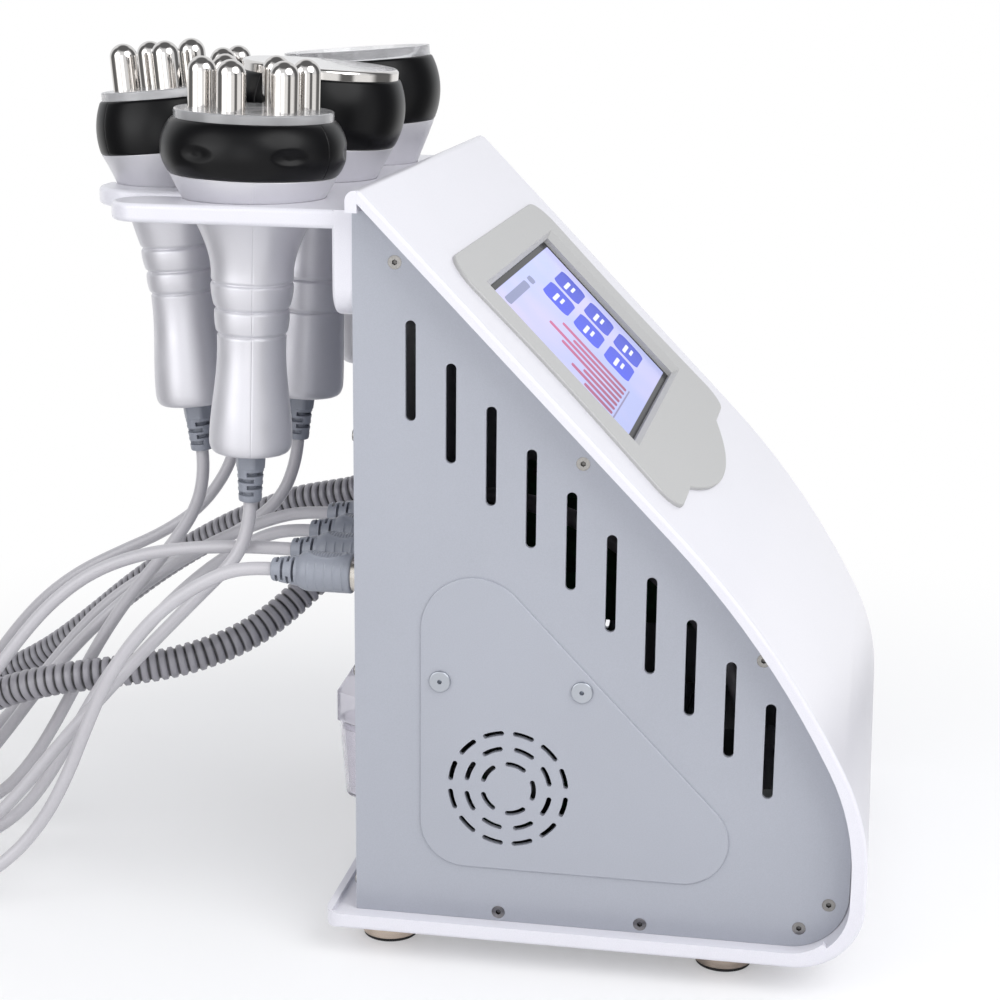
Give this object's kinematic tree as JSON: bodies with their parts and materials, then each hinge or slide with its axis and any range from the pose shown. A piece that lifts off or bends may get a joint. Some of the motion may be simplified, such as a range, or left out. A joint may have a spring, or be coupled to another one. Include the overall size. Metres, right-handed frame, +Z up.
{
  "type": "multifunction beauty machine",
  "caption": "Table-top beauty machine: wedge case with a sloped touch screen, a rear rack of corded treatment handpieces, a suction hose and a small clear filter jar.",
  "frame": {"origin": "centre of the base on the table, halfway between the front of the case and the rearmost handpiece, the free cords and the hose left out", "axes": "+Z up; -Y towards the user, the way the screen faces; +X to the right of someone facing the screen"},
  "size_m": [0.3054, 0.6632, 0.3933],
  "materials": {
    "shell_white": "smooth gloss",
    "panel_gray": "fine satin powder coat",
    "steel_screw": "plain",
    "nickel": "polished",
    "bezel_gray": "satin",
    "screen_glass": "lit display behind clear glass",
    "module_metal": "plain sheet",
    "pearl_silver": "pearl silver paint",
    "black_satin": "satin",
    "clear_disk": "frosted clear",
    "pin_metal": "polished",
    "clear_cup": "clear plastic",
    "jar_clear": "clear plastic",
    "jar_head": "smooth",
    "boot_gray": "soft moulded",
    "cord_gray": "soft sheath",
    "hose_gray": "ribbed hose",
    "foot_metal": "turned",
    "rubber_black": "soft",
    "fan_black": "plain",
    "board_green": "circuit board with its parts",
    "socket_metal": "polished",
    "switch_black": "smooth"
  },
  "bodies": {
    "machine": {"top_shell": "shell_white", "base_tray": "shell_white", "side_panel_left": "panel_gray", "side_panel_right": "panel_gray", "rear_panel": "panel_gray", "panel_screws": "steel_screw", "panel_rivets": "nickel", "pan_head_screws": "steel_screw", "screen_bezel": "bezel_gray", "display_glass": "screen_glass", "display_module": "module_metal", "handpiece_holder": "shell_white", "probe_sockets": "socket_metal", "plug_1": "boot_gray", "plug_2": "boot_gray", "plug_3": "boot_gray", "plug_4": "boot_gray", "suction_port": "boot_gray", "filter_head": "jar_head", "mains_inlet": "switch_black", "foot_caps": "foot_metal", "foot_pads": "rubber_black", "fan_frame": "fan_black", "main_board": "board_green", "generator_board": "board_green", "power_supply": "module_metal", "vacuum_pump": "module_metal", "air_tube": "hose_gray", "body_probe_cord": "cord_gray", "face_probe_cord": "cord_gray", "flat_probe_cord": "cord_gray", "eye_probe_cord": "cord_gray", "suction_hose": "hose_gray"},
    "body_probe": {"body_probe_grip": "pearl_silver", "body_probe_band": "black_satin", "body_probe_disk": "clear_disk", "body_probe_pins": "pin_metal", "body_probe_relief": "boot_gray"},
    "face_probe": {"face_probe_grip": "pearl_silver", "face_probe_band": "black_satin", "face_probe_disk": "clear_disk", "face_probe_pins": "pin_metal", "face_probe_relief": "boot_gray"},
    "flat_probe": {"flat_probe_grip": "pearl_silver", "flat_probe_band": "black_satin", "flat_probe_plate": "pin_metal", "flat_probe_relief": "boot_gray"},
    "suction_probe": {"suction_probe_grip": "pearl_silver", "suction_probe_band": "black_satin", "suction_probe_cup": "clear_cup", "suction_probe_cuff": "boot_gray"},
    "eye_probe": {"eye_probe_grip": "pearl_silver", "eye_probe_band": "black_satin", "eye_probe_disk": "clear_disk", "eye_probe_pins": "pin_metal", "eye_probe_relief": "boot_gray"},
    "fan": {"fan_rotor": "fan_black"},
    "rocker": {"power_rocker": "switch_black"},
    "jar_cup": {"filter_cup": "jar_clear"}
  },
  "joints": [
    {"name": "body_probe_lift", "type": "slide", "parent": "machine", "child": "body_probe", "axis": [0, -0.0297, 0.9996], "range_m": [0, 0.13], "deforming": ["body_probe_cord"]},
    {"name": "face_probe_lift", "type": "slide", "parent": "machine", "child": "face_probe", "axis": [0, 0.0889, 0.996], "range_m": [0, 0.13], "deforming": ["face_probe_cord"]},
    {"name": "flat_probe_lift", "type": "slide", "parent": "machine", "child": "flat_probe", "axis": [0, -0.075, 0.9972], "range_m": [0, 0.13], "deforming": ["flat_probe_cord"]},
    {"name": "suction_probe_lift", "type": "slide", "parent": "machine", "child": "suction_probe", "axis": [0, 0.0715, 0.9974], "range_m": [0, 0.13], "deforming": ["suction_hose"]},
    {"name": "eye_probe_lift", "type": "slide", "parent": "machine", "child": "eye_probe", "axis": [0, 0.0349, 0.9994], "range_m": [0, 0.13], "deforming": ["eye_probe_cord"]},
    {"name": "fan_spin", "type": "hinge", "parent": "machine", "child": "fan", "pos_m": [-0.1194, -0.02618, 0.0809], "axis": [1, 0, 0], "continuous": true},
    {"name": "rocker_tilt", "type": "hinge", "parent": "machine", "child": "rocker", "pos_m": [0.072, 0.04032, 0.0775], "axis": [1, 0, 0], "range_deg": [-16, 0]},
    {"name": "jar_cup_twist", "type": "hinge", "parent": "machine", "child": "jar_cup", "pos_m": [0, 0.06482, 0.022], "axis": [0, 0, 1], "range_deg": [0, 60]}
  ]
}
